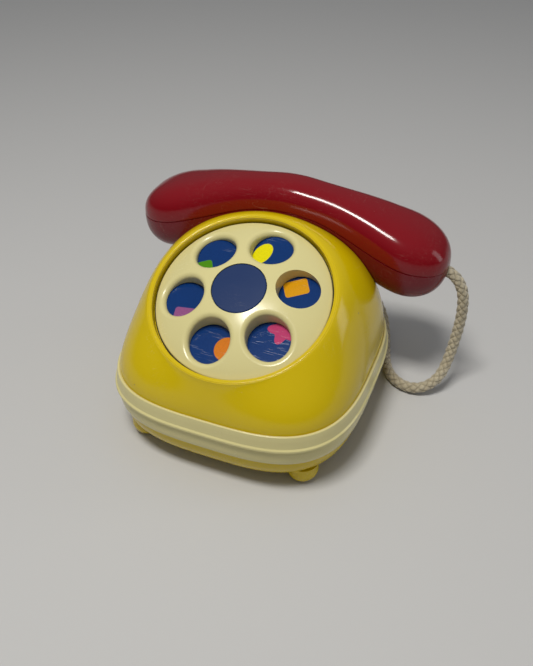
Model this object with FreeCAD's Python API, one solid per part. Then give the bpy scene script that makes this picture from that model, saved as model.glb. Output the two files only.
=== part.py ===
"""Toy rotary telephone for a toddler: housing, dial, bell works, handset and cord.

Frame: +Z up, +X to the caller's right, +Y away from the caller. The origin is on the table under the
middle of the object. All sizes are in millimetres.
"""

import FreeCAD
import Part

import math
import os

V = FreeCAD.Vector

# --- Driving dimensions ---------------------------------------------------------------------------
# Case outline: a rounded square (superellipse) where the yellow housing meets the cream band.
CASE_HALF_X = 62.25
CASE_HALF_Y = 63.75
CASE_ROUNDNESS = 3.24
BAND_TOP_Z = 39.0
BAND_BOTTOM_Z = 21.6
PAN_BOTTOM_Z = 6.0
BAND_BULGE = 3.0
WALL = 2.5

# Dial: its plane leans towards the caller and its centre is ahead of the middle of the case.
DIAL_TILT = 26.2
DIAL_AHEAD = 16.1
DIAL_Z = 77.0
DIAL_R = 43.0
DIAL_RISE = 10.2
DIAL_UNDERSIDE = -0.6
FINGER_HOLES = 6
FINGER_HOLE_R = 10.3
FINGER_CIRCLE_R = 27.5
FINGER_EDGE_R = 2.4
FINGER_PHASE = 17.5
DIAL_SKIN = 2.2
CAP_R = 13.17
CAP_TOP = 9.25
CAP_THICK = 2.0

# Lip round the dial well, and the deck at the bottom of the well.
LIP_R = 46.2
LIP_RISE = 3.0
WELL_R = 44.0
DECK_TOP = -2.0
PICTURE_THICK = 1.0

# How quickly the housing draws in towards the lip at its sides, front and back, and how it rises.
DRAW_SIDE = 1.366
DRAW_FRONT = 2.96
DRAW_BACK = 1.26
RISE_POWER = 1.127

# Handset: half length, and half depth, height over the seam and depth under it at the middle and at the ends.
HANDSET_HALF = 86.0
HANDSET_BEHIND = 49.9
GRIP_HALF_DEPTH = 12.8
BULB_HALF_DEPTH = 22.0
GRIP_UP = 13.6
BULB_UP = 17.5
GRIP_DOWN = 9.0
BULB_DOWN = 21.0
HANDSET_ROUNDNESS = 2.8
SEAM_END_Z = 74.5
SEAM_ARCH = 20.6
SEAM_SPREAD = 55.0
TIP_START = 58.0
TIP_POWER = 2.3
HANDSET_WALL = 2.2
REST_GAP = 0.4

# The body sits a little ahead of the origin, so that the whole object without its cord is centred on it.
BODY_Y = (CASE_HALF_Y + BAND_BULGE - HANDSET_BEHIND - BULB_HALF_DEPTH) / 2.0
DIAL_Y = BODY_Y - DIAL_AHEAD
HANDSET_Y = BODY_Y + HANDSET_BEHIND

# Works under the dial, in the dial's own frame (across, up the slope, out of the dial).
AXLE_R = 3.0
RUNNING_GAP = 0.05
AXLE_BOSS_R = 6.0
AXLE_BOSS_END = -11.0
STAR_TIP_R = 12.0
STAR_ROOT_R = 8.6
STAR_TEETH = 12
STAR_TOP = -11.2
STAR_THICK = 3.5
BELL_R = 17.0
BELL_UP = -31.5
BELL_TOP = -8.5
BELL_DEEP = 9.5
BELL_WALL = 1.0
PIVOT_ACROSS = 24.0
PIVOT_UP = 14.0
PIN_R = 1.5
BALL_R = 3.5
BALL_ACROSS = 20.1
BALL_UP = -24.2
ARM_TOP = -12.6
ARM_THICK = 3.0
ARM_WIDTH = 3.2
STAR_CLEARANCE = 0.7

# Screws, feet and cord.
SCREW_X = 33.0
SCREW_Y = 37.0
SCREW_SHAFT_R = 1.5
SCREW_HEAD_R = 3.0
FOOT_X = 43.0
FOOT_Y = 45.0
FOOT_R = 8.0
FOOT_FLAT_R = 4.0
HANDSET_SCREW_X = 16.0
CORD_R = 3.0
CORD_HOLE_R = 3.3
CORD_HOLE_X = 22.0
CORD_HOLE_Z = 30.0
KNOT_R = 5.5

BLOCK_ROUNDNESS = 3.2
OUTLINE_POINTS = 48
SECTION_POINTS = 36

# The cord's route, from the knot in the handset's right tip to the knot behind the hole in the band.
CORD_ROUTE = [
    (76.0, 47.2, 76.0),
    (87.6, 47.2, 73.2),
    (95.2, 47.2, 64.0),
    (97.0, 47.0, 49.0),
    (96.2, 46.8, 33.0),
    (94.8, 44.2, 19.2),
    (92.6, 37.2, 10.6),
    (86.4, 32.0, 5.4),
    (78.8, 30.3, 3.5),
    (71.2, 32.2, 3.5),
    (65.4, 37.2, 3.5),
    (61.0, 44.8, 3.5),
    (57.8, 55.4, 3.5),
    (53.8, 71.4, 3.6),
    (49.4, 82.6, 7.9),
    (42.1, 88.1, 16.4),
    (33.1, 86.2, 25.0),
    (25.4, 77.8, 30.0),
    (22.0, 66.0, 30.0),
    (22.0, 55.0, 30.0),
]


# --- Common shapes --------------------------------------------------------------------------------
def closed_curve(points):
    """A smooth closed wire through the points."""
    curve = Part.BSplineCurve()
    curve.interpolate(Points=points, PeriodicFlag=True)
    return Part.Wire(curve.toShape())


def rod(radius, low, high, x=0.0, y=0.0):
    """An upright cylinder between two heights."""
    return Part.makeCylinder(radius, high - low, V(x, y, low), V(0, 0, 1))


def tube(outer, inner, low, high, x=0.0, y=0.0):
    """An upright tube between two heights."""
    return rod(outer, low, high, x, y).cut(rod(inner, low - 1.0, high + 1.0, x, y))


def turned(profile, x=0.0, y=0.0):
    """A solid turned about an upright axis from (radius, height) corners."""
    corners = [V(r, 0, z) for r, z in profile]
    face = Part.Face(Part.makePolygon(corners + corners[:1]))
    solid = face.revolve(V(0, 0, 0), V(0, 0, 1), 360)
    solid.translate(V(x, y, 0))
    return solid


def on_dial(shape):
    """Moves a shape from the dial's own frame into place."""
    placed = shape.copy()
    placed.rotate(V(0, 0, 0), V(1, 0, 0), DIAL_TILT)
    placed.translate(V(0, DIAL_Y, DIAL_Z))
    return placed


def dial_point(across, up, out):
    """The place of a point that is given in the dial's own frame."""
    lean = math.radians(DIAL_TILT)
    y = DIAL_Y + up * math.cos(lean) - out * math.sin(lean)
    z = DIAL_Z + up * math.sin(lean) + out * math.cos(lean)
    return V(across, y, z)


def smooth(t):
    """Rises smoothly from 0 to 1 as t does."""
    t = min(max(t, 0.0), 1.0)
    return t * t * (3.0 - 2.0 * t)


def screw(head_low, shaft_high, head_r=SCREW_HEAD_R, head_height=2.2, shaft_r=SCREW_SHAFT_R):
    """An upright screw with its cross-recessed head at the bottom."""
    head = rod(head_r, head_low, head_low + head_height)
    head = head.makeFillet(0.5, [head.Edges[2]])
    slot = Part.makeBox(0.8, 1.3 * head_r, 1.2, V(-0.4, -0.65 * head_r, head_low - 0.2))
    cross = slot.copy()
    cross.rotate(V(0, 0, 0), V(0, 0, 1), 90)
    shaft = rod(shaft_r, head_low + head_height, shaft_high)
    return head.fuse(shaft).cut(slot).cut(cross).removeSplitter()


def moved(shape, x, y, z=0.0):
    """A copy of a shape, moved."""
    copy = shape.copy()
    copy.translate(V(x, y, z))
    return copy


def four_corners(x, y):
    """The four places that mirror each other about the middle of the case."""
    return [(sx * x, BODY_Y + sy * y) for sx in (-1, 1) for sy in (-1, 1)]


# --- Case -----------------------------------------------------------------------------------------
def case_point(angle, grow, z):
    """A point of the case outline, grown outwards."""
    c = math.cos(angle)
    s = math.sin(angle)
    across = abs(c / (CASE_HALF_X + grow)) ** CASE_ROUNDNESS
    along = abs(s / (CASE_HALF_Y + grow)) ** CASE_ROUNDNESS
    r = (across + along) ** (-1.0 / CASE_ROUNDNESS)
    return V(r * c, BODY_Y + r * s, z)


def case_outline(grow, z):
    """The case outline as a wire, grown outwards, at a height."""
    turns = [2 * math.pi * i / OUTLINE_POINTS for i in range(OUTLINE_POINTS)]
    return closed_curve([case_point(a, grow, z) for a in turns])


def case_solid(steps, ruled=True):
    """A solid through case outlines given as (grow, z)."""
    return Part.makeLoft([case_outline(g, z) for g, z in steps], True, ruled)


def housing_section(step, wall, base_z):
    """One curve of the housing's skin, from the band (step 0) to the lip (step 1)."""
    points = []
    for i in range(OUTLINE_POINTS):
        angle = 2 * math.pi * i / OUTLINE_POINTS
        low = case_point(angle, -wall, base_z)
        ring = LIP_R - wall
        high = dial_point(ring * math.cos(angle), ring * math.sin(angle), LIP_RISE - wall)
        end = DRAW_FRONT if math.sin(angle) < 0 else DRAW_BACK
        draw = DRAW_SIDE + (end - DRAW_SIDE) * math.sin(angle) ** 2
        quarter = math.pi / 2 * step
        inwards = 1.0 - max(math.cos(quarter), 0.0) ** draw
        upwards = math.sin(quarter) ** RISE_POWER
        x = low.x + (high.x - low.x) * inwards
        y = low.y + (high.y - low.y) * inwards
        z = low.z + (high.z - low.z) * upwards
        points.append(V(x, y, z))
    return closed_curve(points)


def housing_skin(wall, base_z):
    """The housing's outer form (wall 0), or the hollow inside it."""
    steps = 10
    return Part.makeLoft([housing_section(i / steps, wall, base_z) for i in range(steps + 1)], True)


def cradle_form(inset):
    """The hump behind the dial that holds the handset's grip, before its saddle is cut.

    Each level is (height, half width, half depth, middle in y).
    """
    levels = [(46, 37, 24.0, 36.5), (58, 36, 24.6, 37.2), (68, 34.6, 24.8, 37.9), (77, 33, 24.5, 38.6)]
    levels += [(84, 31, 23.6, 39.2), (89, 28.6, 22.0, 39.8), (92.6, 25.6, 19.8, 40.6)]
    levels += [(94.8, 22.0, 16.8, 41.6), (95.9, 17.0, 12.6, 42.6)]
    return block_loft(levels, inset)


def block_loft(levels, inset):
    """A smooth block through level outlines, drawn in by an inset."""
    outlines = []
    for z, half_x, half_y, mid_y in levels:
        thin = max(half_y - inset, 0.35 * half_y)
        outlines.append(rounded_block(half_x - inset, thin, mid_y, z - inset))
    return Part.makeLoft(outlines, True)


def rounded_block(half_x, half_y, mid_y, z):
    """A level rounded-rectangle curve."""
    points = []
    for i in range(SECTION_POINTS):
        angle = 2 * math.pi * i / SECTION_POINTS
        c = math.cos(angle)
        s = math.sin(angle)
        r = (abs(c) ** BLOCK_ROUNDNESS + abs(s) ** BLOCK_ROUNDNESS) ** (-1.0 / BLOCK_ROUNDNESS)
        points.append(V(half_x * r * c, mid_y + half_y * r * s, z))
    return closed_curve(points)


def housing_shell():
    """Yellow moulded upper case: lip, dial well and deck, cradle, and the bosses inside."""
    outer = housing_skin(0.0, BAND_TOP_Z).fuse(cradle_form(0.0))
    hollow = housing_skin(WALL, BAND_TOP_Z - 0.5).fuse(cradle_form(WALL))
    lift_out = handset_way_out(REST_GAP)
    keep = handset_way_out(REST_GAP + WALL)
    deck_low = DECK_TOP - WALL
    well_wall = on_dial(rod(WELL_R + WALL, deck_low, 30.0))
    works = axle_boss().fuse(bell_boss()).fuse(pivot_boss())
    bosses = [rod(4.0, 24.0, 110.0, x, y) for x, y in four_corners(SCREW_X, SCREW_Y)]
    inside_only = housing_skin(WALL / 2, BAND_TOP_Z - 16.0).fuse(cradle_form(WALL / 2))
    posts = Part.makeCompound(bosses).common(inside_only).cut(on_dial(rod(LIP_R, DECK_TOP, 40.0)))
    tongue = case_solid([(-2.0, 36.0), (-2.0, 41.5)]).cut(case_solid([(-3.8, 35.0), (-3.8, 42.5)]))
    shell = outer.cut(hollow.cut(well_wall).cut(keep))
    shell = shell.fuse([on_dial(works), posts, tongue])
    well = on_dial(rod(WELL_R, DECK_TOP, 40.0))
    shell = shell.cut(well).cut(lift_out)
    bores = [on_dial(rod(AXLE_R + RUNNING_GAP, -30.0, 5.0))]
    bores.append(on_dial(rod(SCREW_SHAFT_R, -20.0, -3.5, 0.0, BELL_UP)))
    bores.append(on_dial(rod(PIN_R, -20.0, -3.5, PIVOT_ACROSS, PIVOT_UP)))
    bores.extend(rod(SCREW_SHAFT_R, 20.0, 36.0, x, y) for x, y in four_corners(SCREW_X, SCREW_Y))
    return shell.cut(bores)


def axle_boss():
    """Bearing boss for the dial's axle, under the deck."""
    return rod(AXLE_BOSS_R, AXLE_BOSS_END, DECK_TOP - 1.0)


def bell_boss():
    """Boss that the bell is screwed to, under the deck."""
    return rod(4.0, BELL_TOP + 1.0, DECK_TOP - 1.0, 0.0, BELL_UP)


def pivot_boss():
    """Boss that holds the striker's pin, under the deck."""
    return rod(4.0, ARM_TOP + 0.8, DECK_TOP - 1.0, PIVOT_ACROSS, PIVOT_UP)


def base_band():
    """Cream moulded band between the housing and the pan, with a bead round its widest line."""
    steps = [(0.4, BAND_BOTTOM_Z), (1.1, 22.4), (1.5, 26.0), (1.7, 29.4), (2.6, 30.0), (BAND_BULGE, 30.7)]
    steps += [(BAND_BULGE, 31.4), (2.6, 32.0), (2.3, 34.0), (1.8, 36.5)]
    steps += [(1.1, 38.6), (0.7, 39.3), (0.3, 39.5)]
    ring = case_solid(steps).cut(case_solid([(-1.85, 15.0), (-1.85, 45.0)]))
    rim_seat = case_solid([(0.12, BAND_TOP_Z), (0.12, 45.0)])
    cord_hole = Part.makeCylinder(CORD_HOLE_R, 20.0, V(CORD_HOLE_X, 50.0, CORD_HOLE_Z), V(0, 1, 0))
    return ring.cut(rim_seat).cut(cord_hole)


def bottom_pan():
    """Yellow moulded pan that closes the case from below, with four round feet and screw pillars."""
    floor = PAN_BOTTOM_Z
    under = [(-14.0, floor), (-10.0, floor + 0.4), (-6.4, floor + 1.8), (-3.2, floor + 4.5)]
    under += [(-1.2, floor + 7.8), (-0.2, floor + 11.5), (0.2, BAND_BOTTOM_Z - 0.1)]
    within = [(-16.0, floor + 2.5), (-12.4, floor + 2.9), (-9.0, floor + 4.2), (-6.2, floor + 6.4)]
    within += [(-4.6, floor + 9.4), (-4.0, floor + 13.0), (-3.8, floor + 24.0)]
    outer = case_solid(under, False)
    inner = case_solid(within, False)
    rim = case_solid([(-2.0, 18.6), (-2.0, 26.0)])
    pan = outer.fuse(rim)
    foot_side = Part.Arc(V(FOOT_FLAT_R, 0, 0), V(7.1, 0, 3.0), V(FOOT_R, 0, 7.5)).toShape()
    corners = [V(FOOT_R, 0, 7.5), V(FOOT_R, 0, 11.0), V(0, 0, 11.0), V(0, 0, 0), V(FOOT_FLAT_R, 0, 0)]
    sides = [Part.LineSegment(a, b).toShape() for a, b in zip(corners, corners[1:])]
    foot = Part.Face(Part.Wire([foot_side] + sides)).revolve(V(0, 0, 0), V(0, 0, 1), 360)
    feet = [moved(foot, x, y) for x, y in four_corners(FOOT_X, FOOT_Y)]
    cores = [rod(FOOT_R - WALL, 4.0, 20.0, x, y) for x, y in four_corners(FOOT_X, FOOT_Y)]
    pillars = [rod(5.0, 7.5, 23.8, x, y) for x, y in four_corners(SCREW_X, SCREW_Y)]
    shafts = [rod(SCREW_SHAFT_R + 0.2, 4.0, 30.0, x, y) for x, y in four_corners(SCREW_X, SCREW_Y)]
    heads = [rod(SCREW_HEAD_R + 0.4, 4.0, 17.0, x, y) for x, y in four_corners(SCREW_X, SCREW_Y)]
    pan = pan.fuse(feet).cut(inner).cut(cores).fuse(pillars)
    return pan.cut(shafts + heads).removeSplitter()


def case_screws():
    """Four screws from below, through the pan's pillars into the housing."""
    one = screw(14.6, 34.0)
    return Part.makeCompound([moved(one, x, y) for x, y in four_corners(SCREW_X, SCREW_Y)])


def picture_disc():
    """Blue disc that lies on the deck and shows through the finger holes."""
    low = DECK_TOP
    return on_dial(tube(WELL_R - 0.4, AXLE_R + 0.6, low, low + PICTURE_THICK))


# --- Dial -----------------------------------------------------------------------------------------
def dome(rise, radius, foot):
    """A spherical cap of the dial's curve, standing on a short cylinder."""
    ball_r = (DIAL_R ** 2 + DIAL_RISE ** 2) / (2 * DIAL_RISE) - (DIAL_RISE - rise)
    ball = Part.makeSphere(ball_r, V(0, 0, rise - ball_r))
    return ball.common(rod(radius, foot, rise + 1.0))


def finger_places():
    """Centres of the finger holes in the dial's own frame."""
    places = []
    for i in range(FINGER_HOLES):
        angle = math.radians(FINGER_PHASE + 360.0 / FINGER_HOLES * i)
        places.append((FINGER_CIRCLE_R * math.cos(angle), FINGER_CIRCLE_R * math.sin(angle)))
    return places


def dial_ring():
    """Cream domed dial: a moulded shell with a walled finger hole every 60 degrees and a hub."""
    body = dome(DIAL_RISE, DIAL_R, DIAL_UNDERSIDE)
    body = body.cut([rod(FINGER_HOLE_R, -5.0, 20.0, x, y) for x, y in finger_places()])
    body = body.cut(rod(CAP_R + 0.25, CAP_TOP - CAP_THICK, 20.0))
    edges = [e for e in body.Edges if is_finger_edge(e)]
    body = body.makeFillet(FINGER_EDGE_R, edges)
    rim = [e for e in body.Edges if is_rim_edge(e)]
    body = body.makeFillet(0.9, rim)
    hollow = dome(DIAL_RISE - DIAL_SKIN, DIAL_R - DIAL_SKIN, DIAL_UNDERSIDE - 1.0)
    walls = [rod(FINGER_HOLE_R + 1.6, -5.0, 20.0, x, y) for x, y in finger_places()]
    hollow = hollow.cut(walls + [rod(CAP_R + 1.6, -5.0, 20.0)])
    under_cap = tube(CAP_R - 0.8, AXLE_R + 3.0, DIAL_UNDERSIDE - 1.0, CAP_TOP - CAP_THICK - 2.0)
    bore = rod(AXLE_R, -5.0, CAP_TOP - CAP_THICK - 1.2)
    return on_dial(body.cut([hollow, under_cap, bore]))


def is_finger_edge(edge):
    """True for the upper edge of a finger hole."""
    box = edge.BoundBox
    size = 2 * FINGER_HOLE_R
    return abs(box.XLength - size) < 0.6 and abs(box.YLength - size) < 0.6 and box.ZMin > 0.0


def is_rim_edge(edge):
    """True for the upper edge of the dial's rim."""
    box = edge.BoundBox
    return abs(box.XLength - 2 * DIAL_R) < 0.1 and abs(box.ZMax) < 0.05 and abs(box.ZMin) < 0.05


def dial_cap():
    """Blue cap pressed into the middle of the dial, with a bevelled edge."""
    low = CAP_TOP - CAP_THICK
    profile = [(0, low), (CAP_R, low), (CAP_R, CAP_TOP - 0.35), (CAP_R - 0.4, CAP_TOP), (0, CAP_TOP)]
    return on_dial(turned(profile))


def dial_axle():
    """Steel axle, pressed into the dial's hub."""
    end = STAR_TOP - STAR_THICK
    axle = rod(AXLE_R, end, CAP_TOP - CAP_THICK - 1.4)
    return on_dial(axle.cut(rod(SCREW_SHAFT_R, end - 1.0, end + 7.0)))


def star_wheel():
    """Toothed wheel on the axle's inner end, which flicks the bell striker."""
    points = []
    for i in range(2 * STAR_TEETH):
        r = STAR_TIP_R if i % 2 == 0 else STAR_ROOT_R
        angle = math.pi / STAR_TEETH * i
        points.append(V(r * math.cos(angle), r * math.sin(angle), STAR_TOP - STAR_THICK))
    wheel = Part.Face(Part.makePolygon(points + points[:1])).extrude(V(0, 0, STAR_THICK))
    crown = rod(STAR_TIP_R - 0.3, STAR_TOP - STAR_THICK, STAR_TOP)
    bore = rod(AXLE_R, STAR_TOP - STAR_THICK - 1.0, STAR_TOP + 1.0)
    return on_dial(wheel.common(crown).cut(bore))


def dial_washer():
    """Washer under the axle's screw."""
    high = STAR_TOP - STAR_THICK
    return on_dial(tube(5.2, SCREW_SHAFT_R, high - 0.8, high))


def dial_screw():
    """Screw in the axle's inner end, which keeps the star wheel and the dial in place."""
    high = STAR_TOP - STAR_THICK - 0.8
    return on_dial(screw(high - 2.2, high + 7.2))


# --- Bell and striker -----------------------------------------------------------------------------
def bell_gong():
    """Pressed steel bell with a flat crown and a straight skirt."""
    top = BELL_TOP
    low = BELL_TOP - BELL_DEEP
    outer = [(1.8, top), (9.0, top), (13.6, top - 1.2)]
    outer += [(16.2, top - 3.6), (BELL_R, top - 6.4), (BELL_R, low)]
    inner = [(r - (BELL_WALL if r > 5 else 0.0), z - (BELL_WALL if z > low else 0.0)) for r, z in outer]
    return on_dial(turned(outer + inner[::-1], 0.0, BELL_UP))


def bell_bush():
    """Soft washer that lets the bell ring."""
    return on_dial(tube(3.6, SCREW_SHAFT_R, BELL_TOP, BELL_TOP + 1.0, 0.0, BELL_UP))


def bell_screw():
    """Screw that holds the bell to its boss."""
    head_high = BELL_TOP - BELL_WALL
    one = screw(head_high - 2.2, -3.7)
    return on_dial(moved(one, 0.0, BELL_UP))


def striker_pin():
    """Steel pin that the striker swings on."""
    return on_dial(rod(PIN_R, -20.5, -3.6, PIVOT_ACROSS, PIVOT_UP))


def pin_clip():
    """Push-on clip that keeps the striker on its pin."""
    clip = tube(3.4, PIN_R, -19.9, -19.3, PIVOT_ACROSS, PIVOT_UP)
    notch = Part.makeBox(4.0, 1.0, 2.0, V(PIVOT_ACROSS + 1.0, PIVOT_UP - 0.5, -20.5))
    return on_dial(clip.cut(notch))


def arm_bar(start, end, width):
    """A flat bar of the striker between two points, rounded at both ends."""
    low = ARM_TOP - ARM_THICK
    dx = end[0] - start[0]
    dy = end[1] - start[1]
    length = math.hypot(dx, dy)
    bar = Part.makeBox(length, width, ARM_THICK, V(0, -width / 2, low))
    bar.rotate(V(0, 0, 0), V(0, 0, 1), math.degrees(math.atan2(dy, dx)))
    bar.translate(V(start[0], start[1], 0))
    ends = [rod(width / 2, low, ARM_TOP, p[0], p[1]) for p in (start, end)]
    return bar.fuse(ends)


def striker_arm():
    """Moulded lever: an eye on the pin, a nose beside the star wheel and a stem for the ball."""
    pivot = (PIVOT_ACROSS, PIVOT_UP)
    ball = (BALL_ACROSS, BALL_UP)
    elbow = (22.6, 0.0)
    nose_half = 0.9
    nose = (STAR_TIP_R + STAR_CLEARANCE + nose_half, 0.0)
    low = ARM_TOP - ARM_THICK
    arm = rod(4.2, low, ARM_TOP, *pivot).fuse(arm_bar(pivot, elbow, ARM_WIDTH))
    arm = arm.fuse([arm_bar(elbow, ball, 2.2), arm_bar(elbow, nose, 2 * nose_half)])
    return on_dial(arm.cut(rod(PIN_R + RUNNING_GAP, -30.0, 0.0, *pivot)).removeSplitter())


def striker_head():
    """Brass ball pressed on the end of the striker's stem."""
    middle = V(BALL_ACROSS, BALL_UP, ARM_TOP - ARM_THICK / 2)
    return on_dial(Part.makeSphere(BALL_R, middle)).cut(striker_arm())


def striker_spring():
    """Torsion spring on the pin, which swings the striker back: a leg, two and a half turns, a leg."""
    coil_r = 2.6
    wire_r = 0.35
    pitch = 0.8
    half_turns = 5
    leg = 8.0
    low = -18.9
    points = [V(coil_r, -leg, 0), V(coil_r, -leg / 2, 0)]
    for i in range(8 * half_turns + 1):
        angle = math.pi * i / 8
        points.append(V(coil_r * math.cos(angle), coil_r * math.sin(angle), pitch * i / 16))
    high = points[-1].z
    points += [V(-coil_r, -leg / 2, high), V(-coil_r, -leg, high)]
    path = Part.BSplineCurve()
    path.interpolate(Points=points)
    ring = Part.Wire(Part.Circle(points[0], path.tangent(path.FirstParameter)[0], wire_r).toShape())
    spring = Part.Wire(path.toShape()).makePipeShell([ring], True, False)
    return on_dial(moved(spring, PIVOT_ACROSS, PIVOT_UP, low))


# --- Handset --------------------------------------------------------------------------------------
def seam_z(x):
    """Height of the line where the two handset shells meet."""
    return SEAM_END_Z + SEAM_ARCH * math.exp(-((x / SEAM_SPREAD) ** 2))


def handset_section(x, grow, rise_to=None):
    """The handset's outline across its length, grown outwards.

    With rise_to, its upper half is drawn up to that height, as a way out.
    """
    reach = HANDSET_HALF + grow - TIP_START
    t = min(max((abs(x) - TIP_START) / reach, 0.0), 1.0)
    close = (1.0 - t ** TIP_POWER) ** (1.0 / TIP_POWER)
    depth = GRIP_HALF_DEPTH + (BULB_HALF_DEPTH - GRIP_HALF_DEPTH) * smooth((abs(x) - 15.0) / 57.0) + grow
    up = GRIP_UP + (BULB_UP - GRIP_UP) * smooth((abs(x) - 10.0) / 42.0) + grow
    down = GRIP_DOWN + (BULB_DOWN - GRIP_DOWN) * smooth((abs(x) - 26.0) / 28.0) + grow
    points = []
    for i in range(SECTION_POINTS):
        angle = 2 * math.pi * (i + 0.5) / SECTION_POINTS
        c = math.cos(angle)
        s = math.sin(angle)
        r = (abs(c) ** HANDSET_ROUNDNESS + abs(s) ** HANDSET_ROUNDNESS) ** (-1.0 / HANDSET_ROUNDNESS)
        y = HANDSET_Y + depth * close * r * c
        if s < 0:
            z = seam_z(x) + down * close * r * s
        elif rise_to is None:
            z = seam_z(x) + up * close * r * s
        else:
            z = seam_z(x) + (rise_to - seam_z(x)) * r * s
        points.append(V(x, y, z))
    return closed_curve(points)


def handset_stations(grow):
    """Places along the handset where its outline is drawn, closer together towards the tips."""
    reach = HANDSET_HALF + grow - TIP_START
    tips = [TIP_START + reach * math.sin(math.radians(a)) for a in (20, 38, 53, 65, 75, 82, 87)]
    right = [8.0, 16.0, 24.0, 32.0, 40.0, 48.0, TIP_START] + tips
    return [-x for x in reversed(right)] + [0.0] + right


def handset_form(grow):
    """The whole handset as one smooth form, grown outwards."""
    return Part.makeLoft([handset_section(x, grow) for x in handset_stations(grow)], True)


def handset_way_out(grow):
    """The handset's form and the space over it, out to the case's sides, for lifting it off."""
    reach = CASE_HALF_X + 4.0
    places = [reach * (i / 10.0 - 1.0) for i in range(21)]
    return Part.makeLoft([handset_section(x, grow, 140.0) for x in places], True)


def below_seam(drop):
    """Everything below the handset's seam."""
    far = HANDSET_HALF + 10.0
    places = [far * (i / 12.0 - 1.0) for i in range(25)]
    curve = Part.BSplineCurve()
    curve.interpolate(Points=[V(x, 0, seam_z(x) - drop) for x in places])
    ends = [curve.value(curve.FirstParameter), curve.value(curve.LastParameter)]
    corners = [ends[1], V(far, 0, 0), V(-far, 0, 0), ends[0]]
    sides = [Part.LineSegment(a, b).toShape() for a, b in zip(corners, corners[1:])]
    return Part.Face(Part.Wire([curve.toShape()] + sides)).extrude(V(0, 120, 0))


def handset_cord_way():
    """Bore for the cord through the handset's right tip, which follows the cord's first bend."""
    start = V(*CORD_ROUTE[0])
    out = (V(*CORD_ROUTE[1]) - start).normalize()
    return swept([start - out * 4.0, V(*CORD_ROUTE[1]), V(*CORD_ROUTE[2])], CORD_HOLE_R)[0]


def handset_bosses():
    """Posts inside the grip that the handset screws pass through."""
    high = seam_z(HANDSET_SCREW_X) + GRIP_UP - 1.0
    low = seam_z(HANDSET_SCREW_X) - GRIP_DOWN + 1.0
    return [rod(3.6, low, high, s * HANDSET_SCREW_X, HANDSET_Y) for s in (-1, 1)]


def handset_upper_shell():
    """Red upper shell of the handset."""
    whole = handset_form(0.0).cut(handset_form(-HANDSET_WALL)).fuse(handset_bosses())
    upper = whole.cut(below_seam(0.0)).cut(handset_cord_way())
    top = seam_z(HANDSET_SCREW_X) + 9.2
    return upper.cut([rod(SCREW_SHAFT_R, 70.0, top, s * HANDSET_SCREW_X, HANDSET_Y) for s in (-1, 1)])


def handset_lower_shell():
    """Darker red lower shell of the handset, with sound holes in both cups."""
    whole = handset_form(0.0).cut(handset_form(-HANDSET_WALL)).fuse(handset_bosses())
    lower = whole.common(below_seam(0.1)).cut(handset_cord_way())
    head_high = seam_z(HANDSET_SCREW_X) - 4.6
    cuts = [rod(SCREW_SHAFT_R + 0.2, 70.0, 110.0, s * HANDSET_SCREW_X, HANDSET_Y) for s in (-1, 1)]
    cuts += [rod(SCREW_HEAD_R + 0.3, 70.0, head_high, s * HANDSET_SCREW_X, HANDSET_Y) for s in (-1, 1)]
    for side in (-1, 1):
        cuts.append(rod(1.3, 45.0, 62.0, side * 62.0, HANDSET_Y))
        for i in range(6):
            angle = math.radians(60 * i)
            x = side * 62.0 + 6.0 * math.cos(angle)
            cuts.append(rod(1.3, 45.0, 62.0, x, HANDSET_Y + 6.0 * math.sin(angle)))
    return lower.cut(cuts)


def handset_screws():
    """Two screws that join the handset's shells from below."""
    head_high = seam_z(HANDSET_SCREW_X) - 4.6
    one = screw(head_high - 2.2, seam_z(HANDSET_SCREW_X) + 8.6)
    return Part.makeCompound([moved(one, s * HANDSET_SCREW_X, HANDSET_Y) for s in (-1, 1)])


# --- Cord -----------------------------------------------------------------------------------------
def swept(route, radius):
    """A round bar along straight runs joined by tangent arcs, with its path and the arcs' radii."""
    edges = []
    radii = []
    here = route[0]
    for before, corner, after in zip(route, route[1:], route[2:]):
        arriving = (corner - before).normalize()
        leaving = (after - corner).normalize()
        turn = arriving.getAngle(leaving)
        reach = 0.45 * min((corner - before).Length, (after - corner).Length)
        start = corner - arriving * reach
        end = corner + leaving * reach
        bend_r = reach / math.tan(turn / 2)
        inwards = (leaving - arriving).normalize()
        middle = corner + inwards * (bend_r / math.cos(turn / 2) - bend_r)
        edges.append(Part.LineSegment(here, start).toShape())
        edges.append(Part.Arc(start, middle, end).toShape())
        radii.append(bend_r)
        here = end
    edges.append(Part.LineSegment(here, route[-1]).toShape())
    path = Part.Wire(edges)
    ring = Part.Wire(Part.Circle(route[0], (route[1] - route[0]).normalize(), radius).toShape())
    return path.makePipeShell([ring], True, False), path, radii


def cord():
    """Braided cord from the handset's tip to the hole in the band."""
    solid, path, radii = swept([V(*p) for p in CORD_ROUTE], CORD_R)
    print("cord radii in mm: " + ", ".join("%.1f" % r for r in radii))
    full = math.pi * CORD_R ** 2 * path.Length
    print("cord length %.1f mm, volume / (section x length) %.4f" % (path.Length, solid.Volume / full))
    return solid


def knot(end, inwards):
    """A knot that starts at the cord's end and goes on inwards: two fat turns side by side."""
    middle = end + inwards * KNOT_R
    ball = Part.makeSphere(KNOT_R, middle)
    turn = Part.makeTorus(KNOT_R - 1.4, 2.0, middle, inwards)
    flat = Part.makeCylinder(9.0, 4.0, end + inwards * 0.1 - inwards * 4.0, inwards)
    return ball.fuse(turn).cut(flat).removeSplitter()


def handset_cord_knot():
    """Knot that keeps the cord in the handset."""
    start = V(*CORD_ROUTE[0])
    return knot(start, (start - V(*CORD_ROUTE[1])).normalize())


def base_cord_knot():
    """Knot that keeps the cord in the base."""
    end = V(*CORD_ROUTE[-1])
    return knot(end, (end - V(*CORD_ROUTE[-2])).normalize())


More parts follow.
